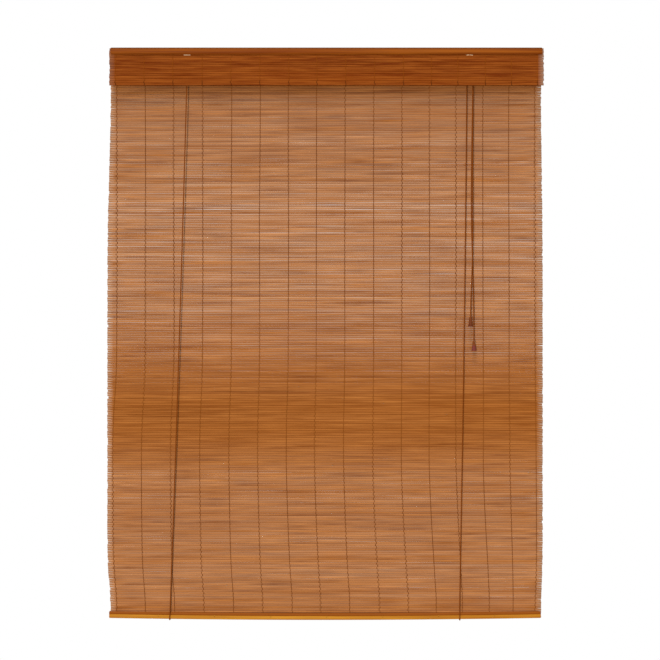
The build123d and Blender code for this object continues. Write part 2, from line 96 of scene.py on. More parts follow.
# Rings of points become quads between neighbouring rings, and rows of quads across the first and
# last ring close it. The array is pieces by rings by points by 3, and a negative volume means that
# the faces have to turn round
def ringMesh(name, rings):
    pieces, rows, columns = rings.shape[:3]
    index = np.arange(pieces * rows * columns).reshape(pieces, rows, columns)
    onward = np.roll(index, -1, axis=2)
    walls = np.stack([index[:, :-1], onward[:, :-1], onward[:, 1:], index[:, 1:]], axis=-1)
    k = np.arange(columns // 2 - 1)
    across = np.stack([k + 1, k, columns - 1 - k, columns - 2 - k], axis=-1)
    caps = [index[:, 0][:, across], index[:, -1][:, across[:, ::-1]]]
    quads = np.concatenate([part.reshape(-1, 4) for part in (walls, *caps)])
    points = rings.reshape(-1, 3)
    a, b, c, d = (points[quads[:, n]] for n in range(4))
    volume = ((np.cross(b - a, c - a) + np.cross(c - a, d - a)) * (a + c)).sum()
    if volume < 0:
        quads = quads[:, ::-1]
    mesh = bpy.data.meshes.new(name)
    mesh.vertices.add(len(points))
    mesh.vertices.foreach_set("co", points.astype(np.float32).ravel())
    mesh.loops.add(quads.size)
    mesh.loops.foreach_set("vertex_index", quads.astype(np.int32).ravel())
    mesh.polygons.add(len(quads))
    mesh.polygons.foreach_set("loop_start", np.arange(0, quads.size, 4, dtype=np.int32))
    mesh.polygons.foreach_set("use_smooth", np.ones(len(quads), dtype=bool))
    mesh.update(calc_edges=True)
    mesh.validate()
    return mesh


# One number for each point, for a material to read
def storeValues(mesh, name, values):
    layer = mesh.attributes.new(name, "FLOAT", "POINT")
    layer.data.foreach_set("value", np.ascontiguousarray(values, dtype=np.float32).ravel())


# Round-and-along coordinates of twisted fibre, one pair for each point, carried over to the loops
def storeTwist(mesh, around, along):
    pointOf = np.zeros(len(mesh.loops), dtype=np.int32)
    mesh.loops.foreach_get("vertex_index", pointOf)
    pairs = np.stack([around, along], axis=-1)[pointOf]
    layer = mesh.uv_layers.new(name="twist")
    layer.data.foreach_set("uv", pairs.astype(np.float32).ravel())


# A mesh becomes a piece with its finish
def addPiece(name, mesh, material):
    mesh.materials.append(material)
    return addObject(name, mesh)


# A piece that moves with a body and stands for a CAD node
def place(name, mesh, material, body, node):
    piece = addPiece(name, mesh, material)
    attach(piece, body)
    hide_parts(node)
    return piece


# A node with its options set and its inputs given as values or links
def addNode(tree, kind, values=None, **options):
    made = tree.nodes.new(kind)
    for option, choice in options.items():
        setattr(made, option, choice)
    for key, value in (values or {}).items():
        if isinstance(value, bpy.types.NodeSocket):
            tree.links.new(value, made.inputs[key])
        else:
            made.inputs[key].default_value = value
    return made


# Two values into one
def mathNode(tree, first, second, way, **options):
    made = addNode(tree, "ShaderNodeMath", {0: first, 1: second}, operation=way, **options)
    return made.outputs[0]


# Second colour over the first by a share from 0 to 1
def blendColours(tree, share, first, second, way="MIX"):
    values = {0: share, 6: first, 7: second}
    return addNode(tree, "ShaderNodeMix", values, data_type="RGBA", blend_type=way).outputs[2]


# A straight line from one range of values to another, held at its ends
def spread(tree, value, low, high, toLow, toHigh):
    limits = {"From Min": low, "From Max": high, "To Min": toLow, "To Max": toHigh}
    return addNode(tree, "ShaderNodeMapRange", {"Value": value, **limits}).outputs[0]


# A colour made darker or lighter by a mask that runs between two shares
def shadeColour(tree, colour, mask, shares):
    shade = spread(tree, mask, 0, 1, *shares)
    grey = addNode(tree, "ShaderNodeCombineColor", {0: shade, 1: shade, 2: shade}).outputs[0]
    return blendColours(tree, 1.0, colour, grey, "MULTIPLY")


# A number stored at the points of a mesh
def readValue(tree, name):
    return addNode(tree, "ShaderNodeAttribute", attribute_name=name).outputs["Fac"]


# A point's place on the piece, in metres
def objectPlace(tree):
    return addNode(tree, "ShaderNodeTexCoord").outputs["Object"]


# From 0 at one height on the piece to 1 at another, in metres
def heightShare(tree, first, second):
    height = addNode(tree, "ShaderNodeSeparateXYZ", {0: objectPlace(tree)}).outputs["Z"]
    return spread(tree, height, first, second, 0.0, 1.0)


# An empty finish with its shader
def newMaterial(name):
    material = bpy.data.materials.new(name)
    material.use_nodes = True
    tree = material.node_tree
    return material, tree, tree.nodes["Principled BSDF"]


# Every finish ends in the same way: its colour, a roughness that runs between two values with the
# relief, and the relief itself as bump of a depth in metres and a strength
def finishShader(tree, shader, colour, relief, look):
    depth, strength = look["bump"]
    bumpValues = {"Height": relief, "Distance": depth, "Strength": strength}
    bump = addNode(tree, "ShaderNodeBump", bumpValues).outputs[0]
    tree.links.new(colour, shader.inputs["Base Color"])
    tree.links.new(spread(tree, relief, 0, 1, *look["gloss"]), shader.inputs["Roughness"])
    tree.links.new(bump, shader.inputs["Normal"])
    shader.inputs["Specular IOR Level"].default_value = look["shine"]


# An empty node group with its sockets
def newGroup(name, inputs, outputs):
    group = bpy.data.node_groups.new(name, "ShaderNodeTree")
    for title, kind in inputs.items():
        group.interface.new_socket(title, in_out="INPUT", socket_type="NodeSocket" + kind)
    for title in outputs:
        group.interface.new_socket(title, in_out="OUTPUT", socket_type="NodeSocketFloat")
    entry, exitNode = group.nodes.new("NodeGroupInput"), group.nodes.new("NodeGroupOutput")
    return group, entry.outputs, exitNode.inputs


# A group placed in a finish, with its own values
def useGroup(tree, group, values):
    return addNode(tree, "ShaderNodeGroup", values, node_tree=group).outputs


# Fibres: noise stretched along the wood, a broad kind for streaks and a fine kind for grain
fibreKinds = {
    "Streak": {"Scale": 1.0, "Detail": 3.0, "Roughness": 0.55},
    "Grain": {"Scale": 4.0, "Detail": 2.0, "Roughness": 0.6},
}
fibreLimits = (0.3, 0.7)
fibreStreaks, fibreIn, fibreOut = newGroup(
    "fibreStreaks", {"Vector": "Vector", "Stretch": "Vector", "Seed": "Float"}, fibreKinds
)
fibrePlace = addNode(
    fibreStreaks,
    "ShaderNodeVectorMath",
    {0: fibreIn["Vector"], 1: fibreIn["Stretch"]},
    operation="MULTIPLY",
).outputs[0]
for kind, noiseValues in fibreKinds.items():
    fibreNoise = addNode(
        fibreStreaks,
        "ShaderNodeTexNoise",
        {"Vector": fibrePlace, "W": fibreIn["Seed"], **noiseValues},
        noise_dimensions="4D",
    )
    evened = spread(fibreStreaks, fibreNoise.outputs[0], *fibreLimits, 0.0, 1.0)
    fibreStreaks.links.new(evened, fibreOut[kind])

# Yarn: slanting fibres on anything twisted, from its own round-and-along coordinates
yarnTwist, yarnIn, yarnOut = newGroup("yarnTwist", {"Vector": "Vector"}, ["Fibre"])
yarnValues = {"Scale": 3.0, "Distortion": 1.5, "Detail": 2.0, "Detail Scale": 1.5}
yarnWave = addNode(
    yarnTwist,
    "ShaderNodeTexWave",
    {"Vector": yarnIn["Vector"], **yarnValues},
    bands_direction="DIAGONAL",
)
yarnTwist.links.new(yarnWave.outputs["Fac"], yarnOut["Fibre"])

# Scuffs: cloudy noise for metal and moulded parts
scuffs, scuffIn, scuffOut = newGroup("scuffs", {"Vector": "Vector", "Scale": "Float"}, ["Scuff"])
scuffValues = {"Detail": 5.0, "Roughness": 0.65}
scuffLimits = (0.35, 0.65)
scuffNoise = addNode(
    scuffs,
    "ShaderNodeTexNoise",
    {"Vector": scuffIn["Vector"], "Scale": scuffIn["Scale"], **scuffValues},
)
evened = spread(scuffs, scuffNoise.outputs[0], *scuffLimits, 0.0, 1.0)
scuffs.links.new(evened, scuffOut["Scuff"])


# The fibre group at a point's place, stretched along the wood
def woodFibres(tree, stretch, seed):
    values = {"Vector": objectPlace(tree), "Stretch": stretch, "Seed": seed}
    return useGroup(tree, fibreStreaks, values)


# Shared by both bamboo finishes. Bump is a depth in metres and a strength, here and below
bambooLook = {
    "bleached": (1, 0.75, 0.53, 1),
    "mostPale": 2,
    "gloss": (0.55, 0.75),
    "bump": (0.0002, 0.4),
}


# Split bamboo: each stick has a tone that fibres shift, a warmth of its own, and a paleness that
# takes it towards a pale colour: bleached wood, and painted light where gaps are open
def bambooMaterial(name, palette):
    look = {**bambooLook, **palette}
    material, tree, shader = newMaterial(name)
    tone, warmth, paleness, stick = (
        readValue(tree, word) for word in ("tone", "warmth", "paleness", "stick")
    )
    fibres = woodFibres(tree, look["stretch"], stick)
    shift = spread(tree, fibres["Streak"], 0, 1, -look["streak"], look["streak"])
    tone = mathNode(tree, tone, shift, "ADD", use_clamp=True)
    colour = blendColours(tree, tone, look["dark"], look["light"])
    colour = blendColours(tree, warmth, colour, look["warm"])
    bleach = spread(tree, paleness, 0, look["mostPale"], 0, look["bleach"])
    colour = blendColours(tree, bleach, colour, look["bleached"])
    finishShader(tree, shader, colour, fibres["Grain"], look)
    return material


blindBamboo = bambooMaterial(
    "blindBamboo",
    {
        "stretch": (11.0, 260.0, 260.0),
        "dark": tint(122, 60, 10),
        "light": tint(189, 118, 55),
        "warm": tint(164, 92, 28),
        "streak": 0.36,
        "bleach": 0.34,
        "shine": 0.08,
    },
)
valanceBamboo = bambooMaterial(
    "valanceBamboo",
    {
        "stretch": (15.0, 300.0, 300.0),
        "dark": tint(102, 36, 0),
        "light": tint(158, 84, 27),
        "warm": tint(146, 68, 8),
        "streak": 0.62,
        "bleach": 0.3,
        "shine": 0.05,
    },
)


# Shared by laths and batten. The painted shade along the upper edge comes in between two heights
lathLook = {
    "edgeHeights": (-0.0032, -0.0012),
    "shades": (0.88, 1.08),
    "shine": 0.08,
    "bump": (0.0003, 0.4),
}


# Laths and batten: long fibres between two stains, then painted shade towards the upper edge, or
# another stain where the piece stores a band, and a fine grain that shades it
def lathMaterial(name, palette):
    look = {**lathLook, **palette}
    material, tree, shader = newMaterial(name)
    fibres = woodFibres(tree, look["stretch"], look["seed"])
    colour = blendColours(tree, fibres["Streak"], look["dark"], look["light"])
    # Painted shade: the colour darkens towards the upper edge
    if "edge" in look:
        colour = blendColours(tree, heightShare(tree, *look["edgeHeights"]), colour, look["edge"])
    if "band" in look:
        colour = blendColours(tree, readValue(tree, "band"), colour, look["band"])
    colour = shadeColour(tree, colour, fibres["Grain"], look["shades"])
    finishShader(tree, shader, colour, fibres["Grain"], look)
    return material


topLathWood = lathMaterial(
    "topLathWood",
    {
        "stretch": (3.0, 180.0, 180.0),
        "seed": 3.0,
        "dark": tint(117, 47, 0),
        "light": tint(158, 82, 10),
        # Painted shade along the upper edge
        "edge": tint(104, 58, 20),
        "gloss": (0.45, 0.6),
    },
)
goldenLathWood = lathMaterial(
    "goldenLathWood",
    {
        "stretch": (4.0, 220.0, 220.0),
        "seed": 11.0,
        "dark": tint(168, 98, 14),
        "light": tint(204, 138, 38),
        "band": tint(150, 78, 14),
        "gloss": (0.45, 0.6),
    },
)
battenWood = lathMaterial(
    "battenWood",
    {
        "stretch": (2.5, 90.0, 90.0),
        "seed": 23.0,
        "dark": tint(122, 66, 28),
        "light": tint(170, 104, 54),
        "gloss": (0.55, 0.7),
    },
)


# Shared by both tassels
tasselLook = {
    "stretch": (400.0, 400.0, 60.0),
    "shades": (0.85, 1.12),
    "gloss": (0.35, 0.5),
    "shine": 0.12,
    "bump": (0.0001, 0.3),
}


# Turned wood tassels: fibres stand upright, and the stain changes between two heights
def tasselMaterial(name, palette):
    look = {**tasselLook, **palette}
    material, tree, shader = newMaterial(name)
    fibres = woodFibres(tree, look["stretch"], look["seed"])
    lowShare = heightShare(tree, *look["change"])
    colour = blendColours(tree, lowShare, look["upper"], look["lower"])
    colour = shadeColour(tree, colour, fibres["Streak"], look["shades"])
    finishShader(tree, shader, colour, fibres["Grain"], look)
    return material


upperTasselWood = tasselMaterial(
    "upperTasselWood",
    {
        "seed": 5.0,
        "change": (-0.56, -0.577),
        "upper": tint(120, 60, 22),
        "lower": tint(98, 42, 14),
    },
)
lowerTasselWood = tasselMaterial(
    "lowerTasselWood",
    {
        "seed": 9.0,
        "change": (-0.614, -0.618),
        "upper": tint(122, 62, 20),
        "lower": tint(120, 54, 46),
    },
)
print("wood and bamboo finishes made")


# Shared by cords and warps
yarnLook = {"shades": (0.82, 1.14), "gloss": (0.7, 0.9), "bump": (0.0001, 0.4)}


# Twisted fibre: painted shade darkens the valleys between strands, and it is stained like the wood
# where it is sunk in
def yarnMaterial(name, palette):
    look = {**yarnLook, **palette}
    material, tree, shader = newMaterial(name)
    roundAndAlong = addNode(tree, "ShaderNodeUVMap", uv_map="twist").outputs[0]
    fibre = useGroup(tree, yarnTwist, {"Vector": roundAndAlong})["Fibre"]
    # Painted shade: darker in the valleys, by the crest mask
    colour = blendColours(tree, readValue(tree, "crest"), look["valley"], look["crest"])
    if "sunk" in look:
        colour = blendColours(tree, readValue(tree, "sunk"), colour, look["sunk"])
    colour = shadeColour(tree, colour, fibre, look["shades"])
    finishShader(tree, shader, colour, fibre, look)
    return material


cordYarn = yarnMaterial(
    "cordYarn",
    {"valley": tint(78, 32, 4), "crest": tint(154, 78, 18), "shine": 0.06},
)
warpYarn = yarnMaterial(
    "warpYarn",
    {
        "valley": tint(86, 40, 8),
        "crest": tint(132, 70, 22),
        "sunk": tint(152, 85, 28),
        "shine": 0.04,
    },
)
valanceYarn = yarnMaterial(
    "valanceYarn",
    {
        "valley": tint(76, 32, 6),
        "crest": tint(104, 48, 12),
        "sunk": tint(154, 77, 18),
        "shine": 0.03,
    },
)


# Shared by metal and moulded parts
metalLook = {"metal": 0.0, "shine": 0.5, "bump": (0.0001, 0.2)}


# Metal and moulded parts: cloudy scuffs change colour and gloss a little
def metalMaterial(name, palette):
    look = {**metalLook, **palette}
    material, tree, shader = newMaterial(name)
    values = {"Vector": objectPlace(tree), "Scale": look["scale"]}
    scuff = useGroup(tree, scuffs, values)["Scuff"]
    colour = blendColours(tree, scuff, look["dark"], look["light"])
    finishShader(tree, shader, colour, scuff, look)
    shader.inputs["Metallic"].default_value = look["metal"]
    return material


wireSteel = metalMaterial(
    "wireSteel",
    {
        "scale": 400.0,
        "dark": tint(126, 121, 114),
        "light": tint(172, 166, 157),
        "gloss": (0.25, 0.45),
        "metal": 1.0,
    },
)
platedSteel = metalMaterial(
    "platedSteel",
    {
        "scale": 260.0,
        "dark": tint(120, 110, 94),
        "light": tint(162, 151, 132),
        "gloss": (0.3, 0.5),
        "metal": 1.0,
    },
)
enamelSteel = metalMaterial(
    "enamelSteel",
    {
        "scale": 160.0,
        "dark": tint(74, 44, 28),
        "light": tint(100, 62, 40),
        "gloss": (0.35, 0.5),
    },
)
# Staples: a pale warm colour as painted highlight, standing for the glint of the steel wire
paleWire = metalMaterial(
    "paleWire",
    {
        "scale": 300.0,
        "dark": tint(212, 156, 104),
        "light": tint(244, 204, 150),
        "gloss": (0.35, 0.5),
    },
)
nylonBrown = metalMaterial(
    "nylonBrown",
    {
        "scale": 240.0,
        "dark": tint(70, 40, 24),
        "light": tint(92, 56, 36),
        "gloss": (0.45, 0.6),
    },
)
print("yarn and metal finishes made")


# Weave: warps stand closer together at the right. Places are in millimetres from the mat's middle.
# Steps are the depths at which rows become wider and narrower again, each with its softness
weave = {
    "warpShares": (
        *(0, 0.068, 0.136, 0.205, 0.274, 0.342, 0.41, 0.477),
        *(0.545, 0.614, 0.682, 0.748, 0.811, 0.876, 0.938, 1),
    ),
    "inset": 13.0,
    "halfLength": 450.0,
    "pitch": 4.8,
    "thickness": 1.8,
    "widerStep": (260, 60),
    "narrowerStep": (1110, 22),
}
warpPlaces = (np.array(weave["warpShares"]) - 0.5) * 2 * (weave["halfLength"] - weave["inset"])
ringPlaces = np.concatenate(
    [
        [-weave["halfLength"], warpPlaces[0]],
        (warpPlaces[1:] + warpPlaces[:-1]) / 2,
        [warpPlaces[-1], weave["halfLength"]],
    ]
)


# From 0 to 1 on the way down, as a soft step at a depth
def softStep(z, step):
    depth, softness = step
    return 1 / (1 + np.exp((z + depth) / softness))


# Rows lie wider in the mat's lower half: x grows by a share between two soft steps. Where the share
# is small, the left side stands a little to the right instead
def widened(x, z, settings, widerStep):
    share = softStep(z, widerStep) - softStep(z, weave["narrowerStep"])
    inward = settings["narrow"] * (1 - share) * (0.5 - x / (2 * weave["halfLength"]))
    return settings["shift"] + x * (1 + settings["widen"] * share) + inward


# What the sticks of both mats have in common
stickSettings = {
    "sides": 6,
    "wanderReach": (2, 2),
    "crestStray": 0.14,
    "crestReach": (0, 2),
    "staggerReach": (0, 3),
    "mostStray": 2,
    "paleUnrest": 2.5,
    "meanWarmth": 0.25,
    "fieldWarmth": 0.06,
    "mostWarmth": 0.9,
    "stickPale": 0.18,
    "fieldPale": 0.2,
    "seeds": 40,
}


# Sticks: each is a flat six-sided bar between two wandering joints, with its crest nearer to one
# joint or the other. Joints wander slowly, and a gap opens at each joint by a skewed random amount
# that the zone scales
def stickBars(settings, openness):
    count, rings = settings["count"], len(ringPlaces)
    joints = settings["top"] - weave["pitch"] * np.arange(count + 1)[:, None]
    wander = settings["wander"] * smoothField((count + 1, rings), stickSettings["wanderReach"])
    wander[[0, -1]] = 0
    stickGap, warpGap = settings["stickGap"], settings["warpGap"]
    uneven = stickGap * smoothField((count + 1, 1), (0, 0))
    uneven = uneven + warpGap * smoothField((count + 1, rings), (0, 0))
    uneven = np.exp(uneven - (stickGap**2 + warpGap**2) / 2)
    gap = settings["leastGap"] + settings["gapShare"] * openness[:, None] * uneven
    gap[:, [0, -1]] += np.array(settings["fringeGap"]) * uneven[:, [0, -1]]
    gap = np.minimum(gap, settings["mostGap"])
    gap[[0, -1]] = 0
    upper = (joints + wander - gap / 2)[:-1]
    lower = (joints + wander + gap / 2)[1:]
    most = stickSettings["mostStray"]
    stray = np.clip(smoothField((count, rings), stickSettings["crestReach"]), -most, most)
    crest = lower + (upper - lower) * (0.5 + stickSettings["crestStray"] * stray)
    stagger = np.clip(smoothField((count, rings), stickSettings["staggerReach"]), -most, most)
    depth = settings["y"] + settings["stagger"] * stagger
    cut = settings["endCut"] * np.abs(rng.normal(size=(count, 2)))
    x = np.broadcast_to(ringPlaces, (count, rings)).copy()
    x[:, 0] += cut[:, 0]
    x[:, -1] -= cut[:, 1]
    x = widened(x, (upper + lower) / 2, settings, weave["widerStep"])
    face, edge = weave["thickness"] / 2, settings["edge"] / 2
    y = np.stack([depth + away for away in (-edge, -face, -edge, edge, face, edge)], axis=-1)
    z = np.stack([upper, crest, lower, lower, crest, upper], axis=-1)
    points = np.stack([np.broadcast_to(x[..., None], y.shape), y, z], axis=-1)
    return ringMesh(settings["name"], points * mm)


# Stick colours: tone, warmth and paleness are each a base value with a random part for every stick
# and another for every field between two warps. The base paleness grows with the zone's gaps, as
# painted light standing in for light through the gaps, and the sun bleach adds to it. Split edges
# and skin differ in paleness
def colourSticks(mesh, settings, openness, lightness, sunBleach):
    count, rings = settings["count"], len(ringPlaces)
    zoneGap = (openness[1:] + openness[:-1]) / 2
    # Painted light: paler where the gaps between sticks are open
    paleness = np.clip(zoneGap / settings["palest"] + sunBleach, 0, 1)[:, None]
    stickPart = settings["stickTone"] * (1 + paleness) * smoothField((count, 1), (0, 0))
    fieldSpread = settings["warpTone"] * (1 + stickSettings["paleUnrest"] * paleness)
    fieldPart = fieldSpread * smoothField((count, rings), (0, 0))
    tone = np.clip(lightness[:, None] + stickPart + fieldPart, 0, 1)
    warmth = settings["stickWarmth"] * smoothField((count, 1), (1, 0))
    warmth = warmth + stickSettings["fieldWarmth"] * smoothField((count, rings), (1, 1))
    warmth = np.clip(stickSettings["meanWarmth"] + warmth, 0, stickSettings["mostWarmth"])
    unrest = stickSettings["stickPale"] * smoothField((count, 1), (0, 0))
    unrest = unrest + stickSettings["fieldPale"] * smoothField((count, rings), (0, 0))
    paleness = paleness * (1 + unrest)
    paleness[:, [0, -1]] = settings["fringePale"]
    seeds = rng.uniform(0, stickSettings["seeds"], size=(count, 1))
    stick = np.broadcast_to(seeds, (count, rings))
    for word, values in (("tone", tone), ("warmth", warmth), ("stick", stick)):
        storeValues(mesh, word, np.repeat(values[..., None], stickSettings["sides"], axis=2))
    splitEdges, skin = settings["edgePale"], settings["skinPale"]
    shares = np.array([splitEdges, skin, splitEdges] * 2)
    storeValues(mesh, "paleness", paleness[..., None] * shares)


# Blind mat: gaps between sticks by depth below the top. A dense band has none. Tones by depth are
# painted darker from 84 to 230 mm below the top, deepest at 105 mm, as shade under the valance, and
# lighter near the bottom
blindSettings = {
    "name": "blindSticks",
    "count": 246,
    "top": -2.0,
    "y": 12.4,
    "shift": -3.2,
    "widen": 0.008,
    "narrow": 3.8,
    "edge": 1.2,
    "wander": 0.2,
    "leastGap": 0.02,
    "mostGap": 1.6,
    "gapShare": 0.34,
    "stickGap": 0.42,
    "warpGap": 0.45,
    "edgePale": 1.9,
    "skinPale": 0.3,
    "stickTone": 0.04,
    "warpTone": 0.07,
    "stickWarmth": 0.08,
    "palest": 0.48,
    "fringeGap": (0.22, 0.22),
    "fringePale": (1.3, 1.3),
    "stagger": 0.1,
    "endCut": 0.7,
    "depths": (
        *(0, 84, 104, 150, 210, 272, 317, 355, 400, 500, 560, 620),
        *(650, 690, 725, 765, 800, 850, 900, 1142, 1183),
    ),
    "gaps": (
        *(0.05, 0.06, 0.14, 0.17, 0.28, 0.3, 0.37, 0.38, 0.35, 0.31, 0.22, 0.16),
        *(0.11, 0.05, 0, 0, 0.01, 0.07, 0.2, 0.21, 0.06),
    ),
    "openGap": 0.26,
    # Painted shade: tones dip from 84 to 230 mm below the top, where the valance's shadow fades out
    "toneDepths": (0, 84, 105, 170, 230, 650, 700, 830, 900, 1183),
    "tones": (0.5, 0.47, 0.35, 0.44, 0.5, 0.5, 0.48, 0.48, 0.56, 0.56),
    "bleachDepths": (80, 100, 180, 240),
    "sunBleach": (0, 0.18, 0.18, 0),
}
jointDepths = weave["pitch"] * np.arange(blindSettings["count"] + 1) - blindSettings["top"]
blindGaps = np.interp(jointDepths, blindSettings["depths"], blindSettings["gaps"])
blindTonesWithPaintedShade, blindBleach = (
    np.interp(jointDepths[1:], blindSettings[depths], blindSettings[values])
    for depths, values in (("toneDepths", "tones"), ("bleachDepths", "sunBleach"))
)
blindMesh = stickBars(blindSettings, blindGaps)
colourSticks(blindMesh, blindSettings, blindGaps, blindTonesWithPaintedShade, blindBleach)
blindSticks = place(
    "blindSticks", blindMesh, blindBamboo, "headrail", "blind_mat"
)

# Warps are sunk in where sticks lie close
blindSettings["sunkDepths"] = blindSettings["depths"]
openShares = np.array(blindSettings["gaps"]) / blindSettings["openGap"]
blindSettings["sunk"] = 1 - np.clip(openShares, 0, 1)

# Valance: a short mat with closed joints. Sticks 2 and 3, just under the top lath, are painted
# lighter to weaken the lath's shadow on them; sticks 4 to 7 are darker and the lowest ones lighter
valanceSettings = {
    "name": "valanceSticks",
    "count": 16,
    "top": -1.0,
    "y": -12.4,
    "shift": 0.0,
    "widen": 0.0,
    "narrow": 0.0,
    "edge": 1.3,
    "wander": 0.2,
    "leastGap": 0.01,
    "mostGap": 0.9,
    "gapShare": 1.0,
    "stickGap": 0.4,
    "warpGap": 0.4,
    "edgePale": 1.0,
    "skinPale": 1.0,
    "stickTone": 0.08,
    "warpTone": 0.06,
    "stickWarmth": 0.06,
    "palest": 1.0,
    "fringeGap": (0.14, 0.3),
    "fringePale": (0.6, 1.7),
    "stagger": 0.1,
    "endCut": 0.8,
    "sunkDepths": (0, 66, 70, 77),
    "sunk": (1, 1, 0, 0),
    # Painted light: sticks 2 and 3 are lighter where the top lath's shadow falls
    "toneSticks": (0, 2, 3, 4, 7, 8, 12, 14),
    "tones": (0.5, 0.66, 0.72, 0.44, 0.44, 0.5, 0.5, 0.62),
    "sunBleach": 0.0,
}
valanceCount = valanceSettings["count"]
valanceGaps = np.zeros(valanceCount + 1)
valanceTonesWithPaintedLight = np.interp(
    np.arange(valanceCount), valanceSettings["toneSticks"], valanceSettings["tones"]
)
valanceMesh = stickBars(valanceSettings, valanceGaps)
colourSticks(
    valanceMesh, valanceSettings, valanceGaps, valanceTonesWithPaintedLight, valanceSettings["sunBleach"]
)
place(
    "valanceSticks", valanceMesh, valanceBamboo, "headrail", "valance_mat"
)
print("sticks laid:", blindSettings["count"], "and", valanceCount)


# Lift: how far the bottom rail rises, and the mat's fixed end and drop, in metres
liftSettings = {"travel": 1.05, "matTop": (0, 0, -0.002), "matDrop": 1.1808}


# A soft piece gets a mesh of its own
def flattenOnLift(piece, fixed, drop):
    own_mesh(piece)


# Warps, in millimetres. A stick has one station at its joint and two on its face
warpSettings = {
    "width": 1.4,
    "thickness": 0.5,
    "reach": 1.08,
    "stations": (0.0, 0.13, 0.87),
    "onFace": (0.0, 1.0, 1.0),
    # Painted shade: the strand's side corners are darker, its faces not
    "crests": (0.35, 1.0, 0.35, 1.0),
    "fibreLength": 2.0,
    "sway": 0.5,
    "swayReach": (0, 60),
    "twin": 0.5,
    "widerStep": (730, 30),
    "kick": -1.5,
    "leanStart": 850,
    "leanRun": 290,
    "leanPower": 1.4,
    "leanShares": (0, 0.068, 0.205, 0.342, 0.477, 0.614, 0.748, 0.876, 0.938, 1),
    "leans": (2, 2, 5, 8, 10, 13.7, 15.6, 14.1, 9.8, 1.5),
}


# Warp strands: two at each place, one before a stick while the other is behind it, and they change
# sides at each joint. Offset from the mat's middle is a flat-topped wave, and the section is a flat
# four-sided lens. After a small kick to the left, the warps lean to the right near the bottom, by a
# power of the way down
def warpStrands(name, mat, side):
    count, stations = mat["count"], np.array(warpSettings["stations"])
    step = np.append((np.arange(count)[:, None] + stations).ravel(), count)
    onFace = np.append(np.tile(warpSettings["onFace"], count), 0.0)
    away = onFace * np.where(step.astype(int) % 2, -1.0, 1.0) * side
    y = mat["y"] + warpSettings["reach"] * away
    z = mat["top"] - weave["pitch"] * step
    rows, warps = len(z), len(warpPlaces)
    sway = warpSettings["sway"] * smoothField((warps, rows), warpSettings["swayReach"])
    kick = warpSettings["kick"] * softStep(z, warpSettings["widerStep"])
    wayDown = np.clip((-z - warpSettings["leanStart"]) / warpSettings["leanRun"], 0, 1)
    leans = np.interp(weave["warpShares"], warpSettings["leanShares"], warpSettings["leans"])
    lean = leans[:, None] * wayDown ** warpSettings["leanPower"]
    x = widened(warpPlaces[:, None], z, mat, warpSettings["widerStep"])
    x = x + sway + side * warpSettings["twin"] + kick + lean
    half, thin = warpSettings["width"] / 2, warpSettings["thickness"] / 2
    corners = np.array([(-half, 0), (0, -thin), (half, 0), (0, thin)])
    shape = (warps, rows, len(corners))
    points = np.stack(
        [
            x[..., None] + corners[:, 0],
            np.broadcast_to(y[:, None] + corners[:, 1], shape),
            np.broadcast_to(z[:, None], shape),
        ],
        axis=-1,
    )
    mesh = ringMesh(name, points * mm)
    storeValues(mesh, "crest", np.tile(warpSettings["crests"], warps * rows))
    sunk = np.interp(-z, mat["sunkDepths"], mat["sunk"])
    storeValues(mesh, "sunk", np.broadcast_to(sunk[None, :, None], shape))
    around = np.arange(len(corners)) / len(corners)
    along = np.arange(rows) * weave["pitch"] / len(stations) / warpSettings["fibreLength"]
    along = np.repeat(along, len(corners))
    storeTwist(mesh, np.tile(around, warps * rows), np.tile(along, warps))
    return mesh


matFall = (liftSettings["matTop"], liftSettings["matDrop"])
for letter, side in (("A", -1.0), ("B", 1.0)):
    warpName = "blindWarp" + letter
    warpMesh = warpStrands(warpName, blindSettings, side)
    blindWarp = place(warpName, warpMesh, warpYarn, "headrail", "warp_threads")
    warpName = "valanceWarp" + letter
    warpMesh = warpStrands(warpName, valanceSettings, side)
    place(warpName, warpMesh, valanceYarn, "headrail", "valance_threads")
    flattenOnLift(blindWarp, *matFall)
flattenOnLift(blindSticks, *matFall)
print("warps woven")


# Cords, in millimetres
cordSettings = {
    "diameter": 2.5,
    "tight": 2.1,
    "strands": 3,
    "strandShare": 0.55,
    "lay": 12.0,
    "fibreLength": 4.0,
    "sides": 12,
    "spacing": 1.0,
    "fewest": 8,
    "resolution": 48,
}


# Cord line: a route's control points in metres give a smooth spline, and its own points are read
# back from it and spaced evenly
def splinePoints(route):
    curve = bpy.data.curves.new("route", "CURVE")
    curve.dimensions = "3D"
    spline = curve.splines.new("NURBS")
    spline.points.add(len(route) - 1)
    spline.points.foreach_set("co", np.column_stack([np.array(route), np.ones(len(route))]).ravel())
    spline.order_u = 3
    spline.use_endpoint_u = True
    spline.resolution_u = cordSettings["resolution"]
    holder = addObject("route", curve)
    bpy.context.view_layer.update()
    solved = holder.evaluated_get(bpy.context.evaluated_depsgraph_get())
    line = bpy.data.meshes.new_from_object(solved)
    points = np.zeros(len(line.vertices) * 3)
    line.vertices.foreach_get("co", points)
    points = points.reshape(-1, 3)
    bpy.data.objects.remove(holder)
    bpy.data.curves.remove(curve)
    bpy.data.meshes.remove(line)
    run = np.concatenate([[0], np.cumsum(np.linalg.norm(np.diff(points, axis=0), axis=1))])
    steps = max(int(run[-1] / (cordSettings["spacing"] * mm)), cordSettings["fewest"])
    even = np.linspace(0, run[-1], steps + 1)
    return np.stack([np.interp(even, run, points[:, n]) for n in range(3)], axis=-1), run[-1]


